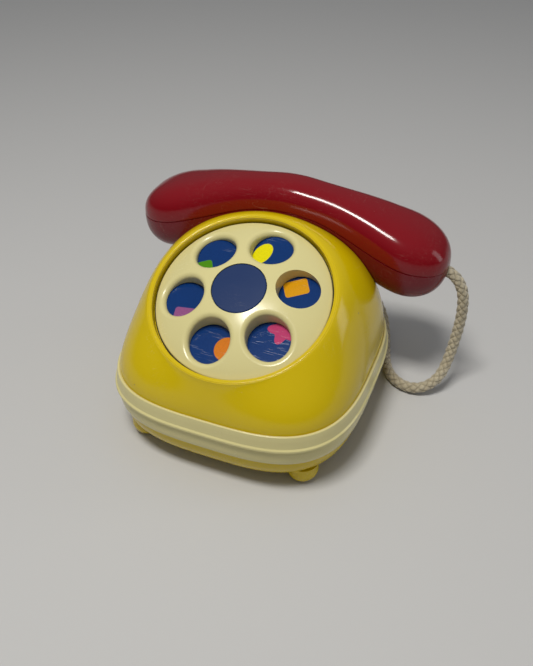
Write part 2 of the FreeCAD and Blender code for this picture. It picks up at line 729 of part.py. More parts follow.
NODES = [
    housing_shell, base_band, bottom_pan, case_screws, picture_disc,
    dial_ring, dial_cap, dial_axle, star_wheel, dial_washer, dial_screw,
    bell_gong, bell_bush, bell_screw, striker_pin, pin_clip, striker_arm, striker_head, striker_spring,
    handset_upper_shell, handset_lower_shell, handset_screws,
    cord, handset_cord_knot, base_cord_knot,
]

os.makedirs("parts", exist_ok=True)
for make in NODES:
    shape = make()
    solids = len(shape.Solids)
    print("%-22s solids %d valid %s volume %.0f" % (make.__name__, solids, shape.isValid(), shape.Volume))
    shape.exportStep("parts/%s.step" % make.__name__)
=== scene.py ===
"""Toy rotary telephone: the looks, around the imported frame. Metres, +Z up, +X to the caller's right."""

import math

import bpy
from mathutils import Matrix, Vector


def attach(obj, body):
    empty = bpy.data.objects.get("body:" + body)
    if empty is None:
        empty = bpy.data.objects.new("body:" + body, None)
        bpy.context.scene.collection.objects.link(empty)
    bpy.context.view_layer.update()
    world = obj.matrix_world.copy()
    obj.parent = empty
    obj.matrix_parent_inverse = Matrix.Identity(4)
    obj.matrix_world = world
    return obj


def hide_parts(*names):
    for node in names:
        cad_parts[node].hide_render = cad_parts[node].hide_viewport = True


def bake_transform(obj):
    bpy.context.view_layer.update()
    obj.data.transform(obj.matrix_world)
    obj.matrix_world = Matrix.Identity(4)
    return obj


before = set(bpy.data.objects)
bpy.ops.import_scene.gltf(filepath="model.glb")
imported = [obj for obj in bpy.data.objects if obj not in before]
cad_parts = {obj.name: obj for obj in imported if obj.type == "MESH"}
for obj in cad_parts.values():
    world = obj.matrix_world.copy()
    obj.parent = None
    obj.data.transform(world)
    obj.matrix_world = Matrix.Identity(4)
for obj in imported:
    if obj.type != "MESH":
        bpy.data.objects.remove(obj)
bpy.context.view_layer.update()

MM = 0.001

# --- View -------------------------------------------------------------------------------------------
# The camera looks down on the phone from ahead and from the caller's right. The phone stands on a pale
# floor under a small lamp overhead, a weak one on its right and a room that is dim at the horizon.
camera = bpy.data.objects.new("camera", bpy.data.cameras.new("camera"))
camera.location = (0.11764, -0.28018, 0.28346)
camera.rotation_euler = (math.radians(90.0 - 38.52), 0.0, math.radians(21.94))
camera.data.lens = 40.0
camera.data.sensor_width = 36.0
camera.data.clip_start = 0.01
bpy.context.scene.collection.objects.link(camera)
bpy.context.scene.camera = camera
bpy.context.scene.view_settings.view_transform = "Standard"


def soft_lamp(name, place, size, watts, tint):
    """A rectangular lamp aimed at the middle of the phone."""
    aim = Vector((0.0, 0.0, 0.05))
    lamp = bpy.data.objects.new(name, bpy.data.lights.new(name, "AREA"))
    lamp.data.shape = "RECTANGLE"
    lamp.data.size, lamp.data.size_y = size
    lamp.data.energy = watts
    lamp.data.color = tint
    lamp.location = place
    lamp.rotation_euler = (aim - Vector(place)).to_track_quat("-Z", "Y").to_euler()
    bpy.context.scene.collection.objects.link(lamp)


soft_lamp("lamp_overhead", (-0.04, -0.30, 0.95), (0.30, 0.16), 6.5, (1.0, 0.98, 0.93))
soft_lamp("lamp_right", (0.70, 0.30, 0.25), (0.20, 0.40), 0.4, (0.95, 0.97, 1.0))

room = bpy.data.worlds.new("room")
room.use_nodes = True
background = room.node_tree.nodes["Background"]
sky = room.node_tree.nodes.new("ShaderNodeTexCoord")
height = room.node_tree.nodes.new("ShaderNodeSeparateXYZ")
shade = room.node_tree.nodes.new("ShaderNodeMapRange")
for end, strength in {"From Min": 0.0, "From Max": 0.9, "To Min": 0.10, "To Max": 0.36}.items():
    shade.inputs[end].default_value = strength
room.node_tree.links.new(sky.outputs["Generated"], height.inputs["Vector"])
room.node_tree.links.new(height.outputs["Z"], shade.inputs["Value"])
room.node_tree.links.new(shade.outputs["Result"], background.inputs["Strength"])
background.inputs["Color"].default_value = (0.80, 0.82, 0.85, 1.0)
bpy.context.scene.world = room

FLOOR = 1.5
floor_corners = [(-FLOOR, -FLOOR, 0), (FLOOR, -FLOOR, 0), (FLOOR, FLOOR, 0), (-FLOOR, FLOOR, 0)]
floor_mesh = bpy.data.meshes.new("floor")
floor_mesh.from_pydata(floor_corners, [], [(0, 1, 2, 3)])
floor = bpy.data.objects.new("floor", floor_mesh)
bpy.context.scene.collection.objects.link(floor)
paper = bpy.data.materials.new("floor_paper")
paper.use_nodes = True
paper_shader = paper.node_tree.nodes["Principled BSDF"]
paper_shader.inputs["Base Color"].default_value = (0.56, 0.555, 0.55, 1.0)
paper_shader.inputs["Roughness"].default_value = 0.9
floor_mesh.materials.append(paper)


# --- Cord -------------------------------------------------------------------------------------------
# A braided cotton cord, 6 mm thick: eight flat strands plaited round a core. It leaves the handset's
# right tip, hangs to the table and goes into the back of the base. A knot holds it at each end.
class Value:
    """A node's socket that sums can be written on, in a material or in Geometry Nodes."""

    def __init__(self, maker, socket):
        self.maker = maker
        self.socket = socket

    def math(self, operation, *others):
        """The outcome of an operation on this value and the others."""
        return self.maker.node("ShaderNodeMath", [self, *others], operation=operation)

    def after(self, operation, first):
        """The outcome of an operation whose first value is another."""
        return self.maker.node("ShaderNodeMath", [first, self], operation=operation)

    def __add__(self, other):
        return self.math("ADD", other)

    def __radd__(self, other):
        return self.math("ADD", other)

    def __sub__(self, other):
        return self.math("SUBTRACT", other)

    def __rsub__(self, other):
        return self.after("SUBTRACT", other)

    def __mul__(self, other):
        return self.math("MULTIPLY", other)

    def __rmul__(self, other):
        return self.math("MULTIPLY", other)

    def __truediv__(self, other):
        return self.math("DIVIDE", other)

    def __rtruediv__(self, other):
        return self.after("DIVIDE", other)

    def __pow__(self, other):
        return self.math("POWER", other)

    def __gt__(self, other):
        return self.math("GREATER_THAN", other)

    def __lt__(self, other):
        return self.math("LESS_THAN", other)

    def __neg__(self):
        return self.math("MULTIPLY", -1.0)

    def __abs__(self):
        return self.math("ABSOLUTE")

    def cos(self):
        return self.math("COSINE")

    def sin(self):
        return self.math("SINE")

    def sqrt(self):
        return self.math("SQRT")

    def exp(self):
        return self.math("EXPONENT")

    def low(self, other):
        """The smaller of the two."""
        return self.math("MINIMUM", other)

    def high(self, other):
        """The larger of the two."""
        return self.math("MAXIMUM", other)

    def ramp(self, start, end, smooth=False):
        """0 at start, 1 at end and between them in proportion, or smoothly."""
        kind = "SMOOTHSTEP" if smooth else "LINEAR"
        ends = [self, start, end, 0.0, 1.0]
        return self.maker.node("ShaderNodeMapRange", ends, interpolation_type=kind)

    def xyz(self):
        """The three parts of a vector."""
        split = self.maker.node("ShaderNodeSeparateXYZ", [self])
        return [Value(self.maker, socket) for socket in split.socket.node.outputs]

    def other(self, name):
        """Another output of the node that this value comes from."""
        return Value(self.maker, self.socket.node.outputs[name])


class Maker:
    """Adds nodes to one tree."""

    def __init__(self, tree):
        self.tree = tree

    def node(self, kind, inputs=(), out=0, **settings):
        """A node of a kind: its settings first, then the values or links of its sockets."""
        node = self.tree.nodes.new(kind)
        for name, value in settings.items():
            setattr(node, name, value)
        for key, value in inputs.items() if isinstance(inputs, dict) else enumerate(inputs):
            if isinstance(value, Value):
                self.tree.links.new(value.socket, node.inputs[key])
            else:
                node.inputs[key].default_value = value
        return Value(self, node.outputs[out])

    def vector(self, x, y, z):
        """A vector from its three parts."""
        return self.node("ShaderNodeCombineXYZ", [x, y, z])

    def blend(self, factor, first, second):
        """A mix of two colours."""
        ends = {0: factor, 6: self.colour(first), 7: self.colour(second)}
        return self.node("ShaderNodeMix", ends, out=2, data_type="RGBA")

    def colour(self, value):
        """A colour for a socket: a linked one as it is, or red, green and blue made solid."""
        return value if isinstance(value, Value) else (*value, 1.0)


def geometry_tree(name, sizes, takes_mesh=False):
    """A Geometry Nodes tree with named inputs, as its maker and its inputs by name."""
    tree = bpy.data.node_groups.new(name, "GeometryNodeTree")
    tree.interface.new_socket("Geometry", in_out="OUTPUT", socket_type="NodeSocketGeometry")
    if takes_mesh:
        tree.interface.new_socket("Geometry", in_out="INPUT", socket_type="NodeSocketGeometry")
    for label, size in sizes.items():
        kind = "NodeSocketInt" if isinstance(size, int) else "NodeSocketFloat"
        kind = "NodeSocketMaterial" if size is None else kind
        tree.interface.new_socket(label, in_out="INPUT", socket_type=kind)
    maker = Maker(tree)
    entry = tree.nodes.new("NodeGroupInput")
    inputs = {socket.name: Value(maker, socket) for socket in entry.outputs if socket.name}
    return maker, inputs


def end_tree(maker, mesh, material):
    """Ends a tree: real meshes only, with their material."""
    mesh = maker.node("GeometryNodeRealizeInstances", [mesh])
    mesh = maker.node("GeometryNodeSetMaterial", {"Geometry": mesh, "Material": material})
    way_out = maker.tree.nodes.new("NodeGroupOutput")
    maker.tree.links.new(mesh.socket, way_out.inputs[0])


def made(name, tree, sizes, start=None):
    """A new piece from a tree: the start mesh through the tree with these sizes, as a plain mesh."""
    start = start or bpy.data.meshes.new(name + "_start")
    host = bpy.data.objects.new(name, start)
    bpy.context.scene.collection.objects.link(host)
    modifier = host.modifiers.new("form", "NODES")
    modifier.node_group = tree
    for item in tree.interface.items_tree:
        if item.in_out == "INPUT" and item.name in sizes:
            modifier[item.identifier] = sizes[item.name]
    bpy.context.view_layer.update()
    evaluated = host.evaluated_get(bpy.context.evaluated_depsgraph_get())
    mesh = bpy.data.meshes.new_from_object(evaluated)
    host.modifiers.clear()
    host.data = mesh
    mesh.name = name
    return host


def surface(name):
    """A new material with its maker and its shader node."""
    material = bpy.data.materials.new(name)
    material.use_nodes = True
    return material, Maker(material.node_tree), material.node_tree.nodes["Principled BSDF"]


def feed(maker, shader, **links):
    """Links values into the shader's sockets: base_color goes to Base Color, and so on."""
    for key, value in links.items():
        maker.tree.links.new(value.socket, shader.inputs[key.replace("_", " ").title()])


CORD_ROUTE = [
    (0.0760, 0.0472, 0.0760),
    (0.0876, 0.0472, 0.0732),
    (0.0952, 0.0472, 0.0640),
    (0.0970, 0.0470, 0.0490),
    (0.0962, 0.0468, 0.0330),
    (0.0948, 0.0442, 0.0192),
    (0.0926, 0.0372, 0.0106),
    (0.0864, 0.0320, 0.0054),
    (0.0788, 0.0303, 0.0035),
    (0.0712, 0.0322, 0.0035),
    (0.0654, 0.0372, 0.0035),
    (0.0610, 0.0448, 0.0035),
    (0.0578, 0.0554, 0.0035),
    (0.0538, 0.0714, 0.0036),
    (0.0494, 0.0826, 0.0079),
    (0.0421, 0.0881, 0.0164),
    (0.0331, 0.0862, 0.0250),
    (0.0254, 0.0778, 0.0300),
    (0.0220, 0.0660, 0.0300),
    (0.0220, 0.0550, 0.0300),
]

line = bpy.data.curves.new("cord_line", "CURVE")
line.dimensions = "3D"
line.resolution_u = 16
spline = line.splines.new("NURBS")
spline.points.add(len(CORD_ROUTE) - 1)
for point, place in zip(spline.points, CORD_ROUTE):
    point.co = (*place, 1.0)
spline.order_u = 3
spline.use_endpoint_u = True
line_object = bpy.data.objects.new("cord_line", line)
bpy.context.scene.collection.objects.link(line_object)
bpy.context.view_layer.update()
seen_line = line_object.evaluated_get(bpy.context.evaluated_depsgraph_get())
cord_line = bpy.data.meshes.new_from_object(seen_line)
bpy.data.objects.remove(line_object)


def cotton():
    """Off-white cotton: yarns along each strand, painted shade where strands dip under their neighbours,
    patchy stains, and a matt, fuzzy surface.
    """
    material, m, shader = surface("braided_cotton")
    shader.inputs["Sheen Weight"].default_value = 0.35
    shader.inputs["Sheen Roughness"].default_value = 0.5
    around = m.node("ShaderNodeAttribute", out=2, attribute_name="around")
    depth = m.node("ShaderNodeAttribute", out=2, attribute_name="depth")
    along = m.node("ShaderNodeAttribute", out=2, attribute_name="along")
    place = m.node("ShaderNodeTexCoord", out=3)
    yarns_round = 62.8
    yarns_along = 9000.0
    twist = (around * yarns_round + along * yarns_along).sin() * 0.5 + 0.5
    fibres = m.node("ShaderNodeTexNoise", {"Vector": place, "Scale": 2600.0, "Detail": 3.0})
    stain = m.node("ShaderNodeTexNoise", {"Vector": place, "Scale": 90.0, "Detail": 3.0})
    # Painted shade: the depth term darkens each strand where it dips under its neighbours, toward the
    # dark (0.17, 0.135, 0.080); twist and fibres add the yarns' texture
    yarns_and_painted_shade = (twist * 0.35 + fibres * 0.45 + depth * 0.55).ramp(0.30, 1.10)
    unstained_with_painted_shade = m.blend(yarns_and_painted_shade, (0.17, 0.135, 0.080), (0.62, 0.55, 0.40))
    feed(m, shader, base_color=m.blend(stain.ramp(0.45, 0.75) * 0.35, unstained_with_painted_shade, (0.25, 0.20, 0.12)))
    bump = {"Strength": 0.55, "Distance": 0.00012, "Height": twist * 0.7 + fibres * 0.5}
    feed(m, shader, roughness=0.78 + fibres * 0.2, normal=m.node("ShaderNodeBump", bump))
    return material


def braid_tree():
    """Plaits strands round a line: half wind each way, and they pass over and under in turn."""
    sizes = {"Steps": 1, "Strands": 1, "Lead": 0.0, "Middle Radius": 0.0, "Sway": 0.0,
             "Half Width": 0.0, "Half Thickness": 0.0, "Core Radius": 0.0, "Material": None}
    m, given = geometry_tree("plaited_cord", sizes, takes_mesh=True)
    middle = m.node("GeometryNodeMeshToCurve", [given["Geometry"]])
    even = {"Curve": middle, "Count": given["Steps"]}
    middle = m.node("GeometryNodeResampleCurve", even, mode="COUNT")
    copies = {0: middle, "Amount": given["Strands"]}
    copies = m.node("GeometryNodeDuplicateElements", copies, domain="SPLINE")
    which = copies.other("Duplicate Index")
    length = m.node("GeometryNodeSplineParameter", out=1)
    half = given["Strands"] * 0.5
    way = 1.0 - 2.0 * (which > half - 0.5)
    turn = way * length * (2 * math.pi) / given["Lead"]
    turn = turn + which * (2 * math.pi) / half
    weave = way * (length * half * (2 * math.pi) / given["Lead"]).cos()
    radius = given["Middle Radius"] + given["Sway"] * weave
    normal = m.node("GeometryNodeInputNormal")
    tangent = m.node("GeometryNodeInputTangent")
    side = m.node("ShaderNodeVectorMath", [tangent, normal], operation="CROSS_PRODUCT")
    first = m.node("ShaderNodeVectorMath", {0: normal, "Scale": turn.cos()}, operation="SCALE")
    second = m.node("ShaderNodeVectorMath", {0: side, "Scale": turn.sin()}, operation="SCALE")
    outwards = m.node("ShaderNodeVectorMath", [first, second], operation="ADD")

    def kept(curves, label, value, kind="FLOAT"):
        """The curves with a value kept on their points."""
        inputs = {"Geometry": curves, "Name": label, "Value": value}
        return m.node("GeometryNodeStoreNamedAttribute", inputs, data_type=kind, domain="POINT")

    strands = kept(copies, "outwards", outwards, "FLOAT_VECTOR")
    # depth is 1 where a strand passes over and 0 where it passes under; the cotton paints shade from it
    strands = kept(kept(strands, "depth", weave * 0.5 + 0.5), "along", length)
    push = m.node("ShaderNodeVectorMath", {0: outwards, "Scale": radius}, operation="SCALE")
    strands = m.node("GeometryNodeSetPosition", {"Geometry": strands, "Offset": push})
    facing = m.node("GeometryNodeInputNamedAttribute", {"Name": "outwards"}, data_type="FLOAT_VECTOR")
    strands = m.node("GeometryNodeSetCurveNormal", {"Curve": strands, "Normal": facing}, mode="FREE")
    ring = m.node("GeometryNodeCurvePrimitiveCircle", {"Resolution": 10, "Radius": 1.0})
    ring = kept(ring, "around", m.node("GeometryNodeSplineParameter"))
    shape = m.vector(given["Half Thickness"], given["Half Width"], 1.0)
    ring = m.node("GeometryNodeTransform", {"Geometry": ring, "Scale": shape})
    inputs = {"Curve": strands, "Profile Curve": ring, "Fill Caps": True}
    strands = m.node("GeometryNodeCurveToMesh", inputs)
    core_ring = {"Resolution": 12, "Radius": given["Core Radius"]}
    core_ring = m.node("GeometryNodeCurvePrimitiveCircle", core_ring)
    inputs = {"Curve": middle, "Profile Curve": core_ring, "Fill Caps": True}
    core = m.node("GeometryNodeCurveToMesh", inputs)
    joined = m.node("GeometryNodeJoinGeometry", [core])
    m.tree.links.new(strands.socket, joined.socket.node.inputs[0])
    end_tree(m, m.node("GeometryNodeSetShadeSmooth", [joined]), given["Material"])
    return m.tree


COTTON = cotton()
sizes = {"Steps": 420, "Strands": 8, "Lead": 0.018, "Middle Radius": 0.00212, "Sway": 0.0004,
         "Half Width": 0.00138, "Half Thickness": 0.0005, "Core Radius": 0.0018, "Material": COTTON}
braided_cord = made("braided_cord", braid_tree(), sizes, start=cord_line)
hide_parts("cord")
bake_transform(braided_cord)


def finish_node(node, material):
    """Gives a CAD node its material."""
    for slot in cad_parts[node].material_slots:
        slot.link = "OBJECT"
        slot.material = material


for node in ("handset_cord_knot", "base_cord_knot"):
    finish_node(node, COTTON)


# --- Housing ----------------------------------------------------------------------------------------
# The yellow upper case, one glossy moulding screwed to the pan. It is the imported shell, with the front
# of the hump that holds the handset lowered until it meets the skin between the band and the lip.
def moulded(name, colour, dark, roughness, scuffs=0.5, specks=0.4, gloss=0.5):
    """Moulded plastic: slight flow marks, faint hairline scratches, specks of dirt, rubbed patches."""
    material, m, shader = surface(name)
    shader.inputs["Specular IOR Level"].default_value = gloss
    place = m.node("ShaderNodeTexCoord", out=3)

    def noise(scale, detail=2.0, stretch=None):
        """Noise, which may be turned and stretched first."""
        where = place
        if stretch:
            turn, pull = stretch
            where = m.node("ShaderNodeMapping", {"Vector": place, "Rotation": turn, "Scale": pull})
        return m.node("ShaderNodeTexNoise", {"Vector": where, "Scale": scale, "Detail": detail})

    flow = noise(14.0, 3.0)
    rubbed = noise(38.0, 4.0).ramp(0.48, 0.72, smooth=True)
    fine = noise(900.0, 2.0)
    lines = 1.0 - abs(noise(60.0, 1.0, ((0.4, 0.2, 0.9), (1.0, 14.0, 5.0))) - 0.5).ramp(0.0, 0.006)
    cross = 1.0 - abs(noise(55.0, 1.0, ((1.1, 0.7, 0.1), (12.0, 1.0, 6.0))) - 0.5).ramp(0.0, 0.005)
    scratch = (lines.high(cross) * noise(45.0, 2.0).ramp(0.50, 0.62)).low(1.0)
    near = m.node("ShaderNodeTexVoronoi", {"Vector": place, "Scale": 130.0, "Randomness": 1.0})
    chance = m.node("ShaderNodeSeparateColor", [near.other("Color")])
    clean_share = 0.72
    size = (chance - clean_share).high(0.0) * 0.22
    speck = (1.0 - near.ramp(size * 0.5, size + 0.004)) * (chance > clean_share)
    tone = m.blend(flow.ramp(0.25, 0.75) * 0.30, colour, dark)
    tone = m.blend(scratch * (0.20 * scuffs), tone, (0.75, 0.72, 0.62))
    tone = m.blend(speck * specks, tone, (0.055, 0.045, 0.022))
    feed(m, shader, base_color=tone)
    rough = roughness + rubbed * (0.10 * scuffs) + fine * 0.03
    rough = rough + scratch * (0.25 * scuffs) + speck * 0.3
    height = noise(22.0, 1.0) * 0.6 + fine * 0.012
    height = height - scratch * (0.03 * scuffs) + speck * 0.02
    bump = {"Strength": 0.30, "Distance": 0.0006, "Height": height}
    feed(m, shader, roughness=rough, normal=m.node("ShaderNodeBump", bump))
    return material


YELLOW = moulded("yellow_plastic", (0.68, 0.50, 0.0), (0.56, 0.39, 0.0), 0.14, scuffs=0.6, specks=0.75)

CASE_HALF_X = 62.25 * MM
CASE_HALF_Y = 63.75 * MM
CASE_ROUNDNESS = 3.24
CASE_MIDDLE = -2.575 * MM
DIAL_LEAN = math.radians(26.2)
DIAL_MIDDLE = Vector((0.0, -18.675 * MM, 77.0 * MM))


def outline_radius(c, s, half_x, half_y, power):
    """How far a rounded outline is from its middle, in the direction with this cosine and sine."""
    far_x = (abs(c) / half_x) ** power
    far_y = (abs(s) / half_y) ** power
    return (far_x + far_y) ** (-1.0 / power)


def unit_grid(m, columns, rows):
    """A grid to be wound into a form, with its two shares across it: from -0.5 to 0.5."""
    grid = {"Size X": 1.0, "Size Y": 1.0, "Vertices X": columns, "Vertices Y": rows}
    mesh = m.node("GeometryNodeMeshGrid", grid)
    parts = m.node("GeometryNodeInputPosition").xyz()
    return mesh, parts[0], parts[1]


def settled_tree():
    """Lowers what stands above the case's skin ahead of the handset, so the skin runs up to it."""
    sizes = {"Half Width": 0.0, "Half Depth": 0.0, "Roundness": 0.0, "Middle": 0.0, "Base": 0.0,
             "Lip Radius": 0.0, "Lip Rise": 0.0, "Draw Side": 0.0, "Draw Back": 0.0, "Rise Power": 0.0,
             "Lean": 0.0, "Dial Y": 0.0, "Dial Z": 0.0, "From Y": 0.0, "To Y": 0.0, "Material": None}
    m, given = geometry_tree("settled_skin", sizes, takes_mesh=True)
    skin, across, up = unit_grid(m, 181, 121)
    turn = (across + 0.5) * math.pi
    c = turn.cos()
    s = turn.sin().high(0.0)
    r = outline_radius(c, s, given["Half Width"], given["Half Depth"], given["Roundness"])
    lean_c = given["Lean"].cos()
    lean_s = given["Lean"].sin()
    high_y = given["Dial Y"] + given["Lip Radius"] * s * lean_c - given["Lip Rise"] * lean_s
    high_z = given["Dial Z"] + given["Lip Radius"] * s * lean_s + given["Lip Rise"] * lean_c
    draw = given["Draw Side"] + (given["Draw Back"] - given["Draw Side"]) * s * s
    quarter = (up + 0.5) * (math.pi / 2)
    inwards = 1.0 - quarter.cos().high(0.0) ** draw
    upwards = quarter.sin().high(0.0) ** given["Rise Power"]
    low_y = given["Middle"] + r * s
    x = r * c + (given["Lip Radius"] * c - r * c) * inwards
    y = low_y + (high_y - low_y) * inwards
    z = given["Base"] + (high_z - given["Base"]) * upwards
    skin = m.node("GeometryNodeSetPosition", {"Geometry": skin, "Position": m.vector(x, y, z)})
    x, y, z = m.node("GeometryNodeInputPosition").xyz()
    over_all = 0.2
    clear = 0.05 * MM
    ray = {"Target Geometry": skin, "Source Position": m.vector(x, y, over_all),
           "Ray Direction": (0.0, 0.0, -1.0), "Ray Length": over_all}
    meets = m.node("GeometryNodeRaycast", ray)
    skin_z = over_all - meets.other("Hit Distance")
    ahead = (y > given["From Y"]) * (y < given["To Y"]) * meets * (z > skin_z + clear)
    place = m.vector(x, y, z.low(skin_z))
    move = {"Geometry": given["Geometry"], "Selection": ahead, "Position": place}
    end_tree(m, m.node("GeometryNodeSetPosition", move), given["Material"])
    return m.tree


sizes = {"Half Width": CASE_HALF_X, "Half Depth": CASE_HALF_Y, "Roundness": CASE_ROUNDNESS,
         "Middle": CASE_MIDDLE, "Base": 39.0 * MM, "Lip Radius": 46.2 * MM, "Lip Rise": 3.0 * MM,
         "Draw Side": 1.366, "Draw Back": 1.26, "Rise Power": 1.127, "Lean": DIAL_LEAN,
         "Dial Y": DIAL_MIDDLE.y, "Dial Z": DIAL_MIDDLE.z, "From Y": 21.0 * MM, "To Y": 45.0 * MM,
         "Material": YELLOW}
shell_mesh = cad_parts["housing_shell"].data.copy()
shell_mesh.materials.clear()
housing = made("housing", settled_tree(), sizes, start=shell_mesh)
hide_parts("housing_shell")
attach(housing, "base")
finish_node("bottom_pan", YELLOW)


# --- Base band --------------------------------------------------------------------------------------
# The cream belt round the case, moulded in one: a rounded top edge, a slightly hollow face, a bead and
# a groove under it. It is clamped between the housing and the yellow pan by the case screws.
CREAM = moulded("cream_plastic", (0.72, 0.65, 0.31), (0.58, 0.50, 0.21), 0.18, scuffs=0.7, specks=0.8)


def closed_form(m, mesh, place):
    """The grid moved to its places, welded where its edges meet, and smooth."""
    weld = 0.002 * MM
    mesh = m.node("GeometryNodeSetPosition", {"Geometry": mesh, "Position": place})
    mesh = m.node("GeometryNodeMergeByDistance", {"Geometry": mesh, "Distance": weld})
    return m.node("GeometryNodeSetShadeSmooth", [mesh])


def belt_tree():
    """Rounds the corners of the given cut and carries it round an outline, which may lean back."""
    sizes = {"Around": 1, "Half Width": 0.0, "Half Depth": 0.0, "Roundness": 0.0, "Lean": 0.0,
             "Middle": 0.0, "Height": 0.0, "Edge Radius": 0.0, "Material": None}
    m, given = geometry_tree("carried_belt", sizes, takes_mesh=True)
    cut = m.node("GeometryNodeMeshToCurve", [given["Geometry"]])
    edge = {"Curve": cut, "Count": 5, "Radius": given["Edge Radius"], "Limit Radius": True}
    cut = m.node("GeometryNodeFilletCurve", edge, mode="POLY")
    count = m.node("GeometryNodeAttributeDomainSize", [cut], component="CURVE")
    mesh, across, up = unit_grid(m, given["Around"], count + 1.0)
    row = m.node("GeometryNodeInputIndex").math("MODULO", count + 1.0).math("MODULO", count)
    pick = {"Geometry": cut, "Value": m.node("GeometryNodeInputPosition"), "Index": row}
    corner = m.node("GeometryNodeSampleIndex", pick, data_type="FLOAT_VECTOR").xyz()
    grow = corner[0]
    rise = corner[2]
    turn = (across + 0.5) * (2 * math.pi)
    c = turn.cos()
    s = turn.sin()
    half_x = given["Half Width"] + grow
    half_y = given["Half Depth"] + grow
    r = outline_radius(c, s, half_x, half_y, given["Roundness"])
    lean_c = given["Lean"].cos()
    lean_s = given["Lean"].sin()
    y = given["Middle"] + r * s * lean_c - rise * lean_s
    z = given["Height"] + r * s * lean_s + rise * lean_c
    end_tree(m, closed_form(m, mesh, m.vector(r * c, y, z)), given["Material"])
    return m.tree


def belt_cut(name, places):
    """A closed cut, from how far out of the outline and how high its corners are in millimetres."""
    cut = bpy.data.meshes.new(name)
    corners = [(grow * MM, 0.0, rise * MM) for grow, rise in places]
    cut.from_pydata(corners, [(i, (i + 1) % len(corners)) for i in range(len(corners))], [])
    return cut


BAND_CUT = [
    (0.15, 38.95), (0.35, 39.5), (1.3, 39.35),
    (1.75, 36.5), (2.2, 32.7),
    (2.95, 32.0), (3.0, 30.9), (2.3, 30.3),
    (1.45, 29.7), (1.75, 28.2), (1.7, 24.0), (1.3, 21.6),
    (-1.85, 21.6), (-1.85, 38.95),
]
BELT = belt_tree()
sizes = {"Around": 256, "Half Width": CASE_HALF_X, "Half Depth": CASE_HALF_Y,
         "Roundness": CASE_ROUNDNESS, "Lean": 0.0, "Middle": CASE_MIDDLE, "Height": 0.0,
         "Edge Radius": 0.5 * MM, "Material": CREAM}
band = made("band", BELT, sizes, start=belt_cut("band_cut", BAND_CUT[::-1]))
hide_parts("base_band")
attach(band, "base")

finish_node("dial_ring", CREAM)


# --- Lip --------------------------------------------------------------------------------------------
# The rolled edge of the housing round the dial's well, moulded with it in the same yellow plastic. It
# leans back with the dial and stands a fraction proud, so it catches the light all the way round.
WELL_R = 44.0 * MM
LIP_CUT = [(2.3, 2.9), (1.6, 3.25), (0.7, 3.25), (-0.05, 2.6), (-0.05, 0.6), (0.5, 0.6), (1.2, 2.4)]
sizes = {"Around": 200, "Half Width": WELL_R, "Half Depth": WELL_R, "Roundness": 2.0,
         "Lean": DIAL_LEAN, "Middle": DIAL_MIDDLE.y, "Height": DIAL_MIDDLE.z,
         "Edge Radius": 0.6 * MM, "Material": YELLOW}
lip = made("lip", BELT, sizes, start=belt_cut("lip_cut", LIP_CUT))
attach(lip, "base")


# --- Picture disc and cap ---------------------------------------------------------------------------
# Under the dial lies a disc of blue card printed with six simple shapes, one below each finger hole,
# under a clear varnish. The cap over the dial's screw is moulded in the same blue.
# Beyond this radius, in millimetres, the disc is painted dark olive: a painted shadow in the gap between
# the dial and the well
GAP_SHADOW_R = 41.0


def dial_plane(m):
    """Millimetres to the right and up from the dial's middle, in the dial's own plane."""
    x, y, z = m.node("ShaderNodeTexCoord", out=3).xyz()
    back = (y - DIAL_MIDDLE.y) * (math.cos(DIAL_LEAN) / MM)
    rise = (z - DIAL_MIDDLE.z) * (math.sin(DIAL_LEAN) / MM)
    return x * (1.0 / MM), back + rise


def turned(across, up, middle, degrees):
    """The same two lengths from another middle, along axes turned to the left."""
    c = math.cos(math.radians(degrees))
    s = math.sin(math.radians(degrees))
    across = across - middle[0]
    up = up - middle[1]
    return across * c + up * s, up * c - across * s


def inside(edge, soft=0.12):
    """1 where the distance to a shape's edge is under zero, with a slightly soft edge."""
    return 1.0 - edge.ramp(-soft, soft)


def round_box(across, up, half, corner):
    """The distance to a rectangle with rounded corners."""
    over_x = (abs(across) - (half[0] - corner)).high(0.0)
    over_y = (abs(up) - (half[1] - corner)).high(0.0)
    return (over_x * over_x + over_y * over_y).sqrt() - corner


def oval(across, up, half):
    """The rough distance to an ellipse."""
    far = ((across / half[0]) ** 2.0 + (up / half[1]) ** 2.0).sqrt()
    return (far - 1.0) * min(half)


def star(m, across, up, middle, radius, swell, tips, first):
    """The rough distance to a star with soft tips."""
    across = across - middle[0]
    up = up - middle[1]
    angle = m.node("ShaderNodeMath", [up, across], operation="ARCTAN2")
    wave = ((angle - math.radians(first)) * float(tips)).cos()
    return (across * across + up * up).sqrt() - (radius + swell * wave)


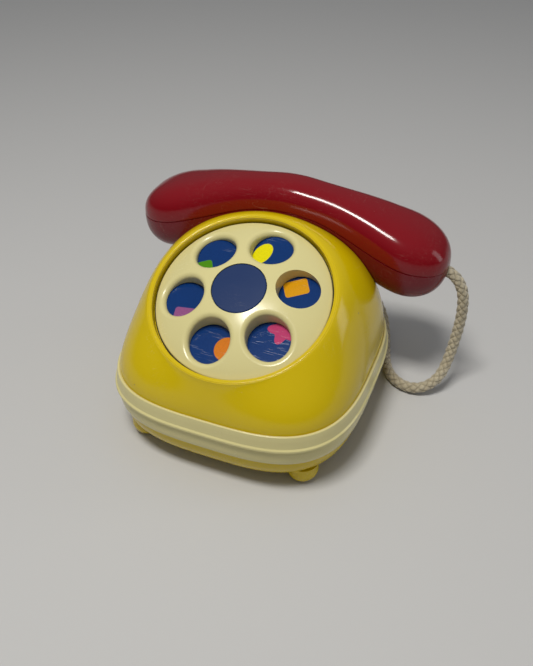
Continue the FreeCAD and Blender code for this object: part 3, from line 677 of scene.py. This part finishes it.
def printed_card():
    """Blue ink with coloured shapes, the print's grain, a varnish with fine scratches, and a painted
    shadow round the rim.
    """
    material, m, shader = surface("picture_print")
    shader.inputs["Specular IOR Level"].default_value = 0.3
    place = m.node("ShaderNodeTexCoord", out=3)
    x, up = dial_plane(m)
    grain = m.node("ShaderNodeTexNoise", {"Vector": place, "Scale": 1500.0, "Detail": 2.0})
    worn = m.node("ShaderNodeTexNoise", {"Vector": place, "Scale": 60.0, "Detail": 4.0})
    tone = m.blend(grain.ramp(0.35, 0.65) * 0.5, (0.002, 0.034, 0.165), (0.001, 0.024, 0.125))
    shapes = [
        (round_box(*turned(x, up, (-28.0, 8.6), 29.0), (8.2, 5.0), 1.6), (0.070, 0.260, 0.003)),
        (oval(*turned(x, up, (0.5, 26.1), 68.0), (6.5, 4.2)), (0.80, 0.72, 0.0)),
        (round_box(*turned(x, up, (23.1, 11.9), 29.0), (5.9, 4.2), 1.5), (0.72, 0.33, 0.004)),
        (star(m, x, up, (24.9, -10.7), 6.5, 1.5, 5, -98.6), (0.50, 0.045, 0.155)),
        (oval(x - 2.2, up + 27.3, (6.2, 6.2)), (0.66, 0.19, 0.010)),
        (round_box(*turned(x, up, (-24.5, -16.6), 7.0), (5.4, 4.9), 1.4), (0.28, 0.085, 0.235)),
    ]
    for edge, ink in shapes:
        dark_ink = tuple(part * 0.6 for part in ink)
        grainy_ink = m.blend(grain.ramp(0.40, 0.70) * 0.25, ink, dark_ink)
        tone = m.blend(inside(edge), tone, grainy_ink)
    # Painted shadow: outside the radius the disc is painted dark olive, standing in for the shade in the
    # gap between the dial and the well's wall
    painted_gap_shadow = inside(GAP_SHADOW_R - (x * x + up * up).sqrt())
    tone = m.blend(painted_gap_shadow, tone, (0.050, 0.042, 0.010))
    streaks = {"Vector": place, "Rotation": (0.2, 0.1, 0.5), "Scale": (3.0, 60.0, 60.0)}
    streaks = m.node("ShaderNodeMapping", streaks)
    streaks = m.node("ShaderNodeTexNoise", {"Vector": streaks, "Scale": 30.0, "Detail": 2.0})
    scratch = streaks.ramp(0.62, 0.68) * worn.ramp(0.45, 0.60)
    tone = m.blend(scratch * 0.11, tone, (0.45, 0.50, 0.60))
    bump = {"Strength": 0.25, "Distance": 0.0001, "Height": grain * 0.3 - scratch}
    rough = 0.13 + worn * 0.06 + scratch * 0.3
    feed(m, shader, base_color=tone, roughness=rough, normal=m.node("ShaderNodeBump", bump))
    return material


finish_node("picture_disc", printed_card())
BLUE = moulded("blue_plastic", (0.002, 0.024, 0.110), (0.001, 0.017, 0.082), 0.30, scuffs=0.35,
               specks=0.2, gloss=0.3)
finish_node("dial_cap", BLUE)


# --- Handset ----------------------------------------------------------------------------------------
# Two glossy shells screwed together: bright red above, darker red below, meeting at a seam that arches
# with the grip. Each is 2.2 mm thick. The lower one has seven holes in each cup.
RED = moulded("red_plastic", (0.215, 0.001, 0.006), (0.165, 0.0, 0.004), 0.12, scuffs=0.3, specks=0.15,
              gloss=0.42)
DARK_RED = moulded("dark_red_plastic", (0.165, 0.001, 0.008), (0.12, 0.0, 0.005), 0.20, scuffs=0.5,
                   specks=0.15, gloss=0.42)
finish_node("handset_lower_shell", DARK_RED)


def shell_tree():
    """The upper half of the handset as one closed skin: over the outside from seam to seam, in across
    the rim, back along the inside, and out across the other rim."""
    sizes = {"Along": 1, "Half Length": 0.0, "Middle Y": 0.0, "Wall": 0.0, "Tip Length": 0.0,
             "Tip Power": 0.0, "Roundness": 0.0, "Grip Half Depth": 0.0, "Cup Half Depth": 0.0,
             "Grip Height": 0.0, "Cup Height": 0.0, "Seam End": 0.0, "Seam Arch": 0.0,
             "Seam Spread": 0.0, "Seam Groove": 0.0, "Groove Width": 0.0, "Material": None}
    m, given = geometry_tree("handset_shell", sizes)
    rows = {"outside": 56, "rim": 1, "inside": 28, "other_rim": 1}
    total = sum(rows.values())
    mesh, across, up = unit_grid(m, given["Along"], total + 1)
    up = up + 0.5
    done = 0
    stage = {}
    for name, count in rows.items():
        stage[name] = up.ramp(done / total, (done + count) / total)
        done += count
    out = stage["outside"]
    back = stage["inside"]
    rim = stage["rim"]
    other_rim = stage["other_rim"]
    bunch = 0.85 / (2 * math.pi)
    share = out - bunch * (out * (2 * math.pi)).sin() - back
    inset = given["Wall"] * (rim - other_rim)
    x = (across * math.pi).sin() * (given["Half Length"] - inset)
    reach = given["Tip Length"] - inset
    t = ((abs(x) - (given["Half Length"] - given["Tip Length"])) / reach).high(0.0).low(1.0)
    close = (1.0 - t ** given["Tip Power"]).high(0.0) ** (1.0 / given["Tip Power"])
    deepen = abs(x).ramp(0.015, 0.072, smooth=True)
    swell = abs(x).ramp(0.010, 0.052, smooth=True)
    deeper = (given["Cup Half Depth"] - given["Grip Half Depth"]) * deepen
    higher = (given["Cup Height"] - given["Grip Height"]) * swell
    depth = given["Grip Half Depth"] + deeper - inset
    height = given["Grip Height"] + higher - inset
    c = (share * math.pi).cos()
    s = (share * math.pi).sin().high(0.0)
    power = given["Roundness"]
    r = (abs(c) ** power + s ** power) ** (-1.0 / power) * close
    lift = height * r * s
    apart = lift / given["Groove Width"]
    groove = given["Seam Groove"] * (-(apart * apart)).exp() * (1.0 - rim + other_rim)
    seam = x / given["Seam Spread"]
    seam = given["Seam End"] + given["Seam Arch"] * (-(seam * seam)).exp()
    y = given["Middle Y"] + (depth - groove) * r * c
    mesh = closed_form(m, mesh, m.vector(x, y, seam + lift))
    end_tree(m, m.node("GeometryNodeFlipFaces", [mesh]), given["Material"])
    return m.tree


sizes = {"Along": 230, "Half Length": 85.95 * MM, "Middle Y": 47.325 * MM, "Wall": 2.2 * MM,
         "Tip Length": 28.0 * MM, "Tip Power": 2.3, "Roundness": 2.8, "Grip Half Depth": 12.8 * MM,
         "Cup Half Depth": 22.0 * MM, "Grip Height": 13.6 * MM, "Cup Height": 17.5 * MM,
         "Seam End": 74.5 * MM, "Seam Arch": 20.6 * MM, "Seam Spread": 55.0 * MM,
         "Seam Groove": 0.35 * MM, "Groove Width": 0.45 * MM, "Material": RED}
upper_shell = made("upper_shell", shell_tree(), sizes)
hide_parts("handset_upper_shell")
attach(upper_shell, "handset")


# --- Works and screws -------------------------------------------------------------------------------
# Under the dial a white star wheel on a steel axle flicks a white arm with a brass head against a
# domed steel bell. Screws hold the pan and the handset together.
def metal(name, colour, roughness, brush):
    """Turned or pressed metal: a tool's fine rings, dull patches and a little tarnish."""
    material, m, shader = surface(name)
    shader.inputs["Metallic"].default_value = 1.0
    place = m.node("ShaderNodeTexCoord", out=3)
    stretched = m.node("ShaderNodeMapping", {"Vector": place, "Scale": (1.0, 1.0, brush)})
    rings = m.node("ShaderNodeTexNoise", {"Vector": stretched, "Scale": 700.0, "Detail": 2.0})
    patch = m.node("ShaderNodeTexNoise", {"Vector": place, "Scale": 120.0, "Detail": 4.0})
    dull = patch.ramp(0.45, 0.70)
    dark = tuple(part * 0.45 for part in colour)
    bump = {"Strength": 0.25, "Distance": 0.00005, "Height": rings}
    rough = roughness + dull * 0.2 + rings * 0.1
    tone = m.blend(dull * 0.5, colour, dark)
    feed(m, shader, base_color=tone, roughness=rough, normal=m.node("ShaderNodeBump", bump))
    return material


WHITE = moulded("white_plastic", (0.78, 0.78, 0.75), (0.66, 0.66, 0.62), 0.38, scuffs=0.4, specks=0.3)
RUBBER = moulded("black_rubber", (0.030, 0.029, 0.028), (0.018, 0.018, 0.018), 0.62, scuffs=0.4,
                 specks=0.2)
STEEL = metal("plated_steel", (0.62, 0.62, 0.60), 0.28, 6.0)
BELL = metal("bell_steel", (0.70, 0.68, 0.63), 0.20, 12.0)
BRASS = metal("brass", (0.68, 0.47, 0.18), 0.26, 6.0)
WORKS = {
    WHITE: ["star_wheel", "striker_arm"],
    RUBBER: ["bell_bush"],
    BRASS: ["striker_head"],
    BELL: ["bell_gong"],
    STEEL: ["dial_axle", "dial_washer", "dial_screw", "bell_screw", "striker_pin", "pin_clip",
            "striker_spring", "case_screws", "handset_screws"],
}
for material, nodes in WORKS.items():
    for node in nodes:
        finish_node(node, material)
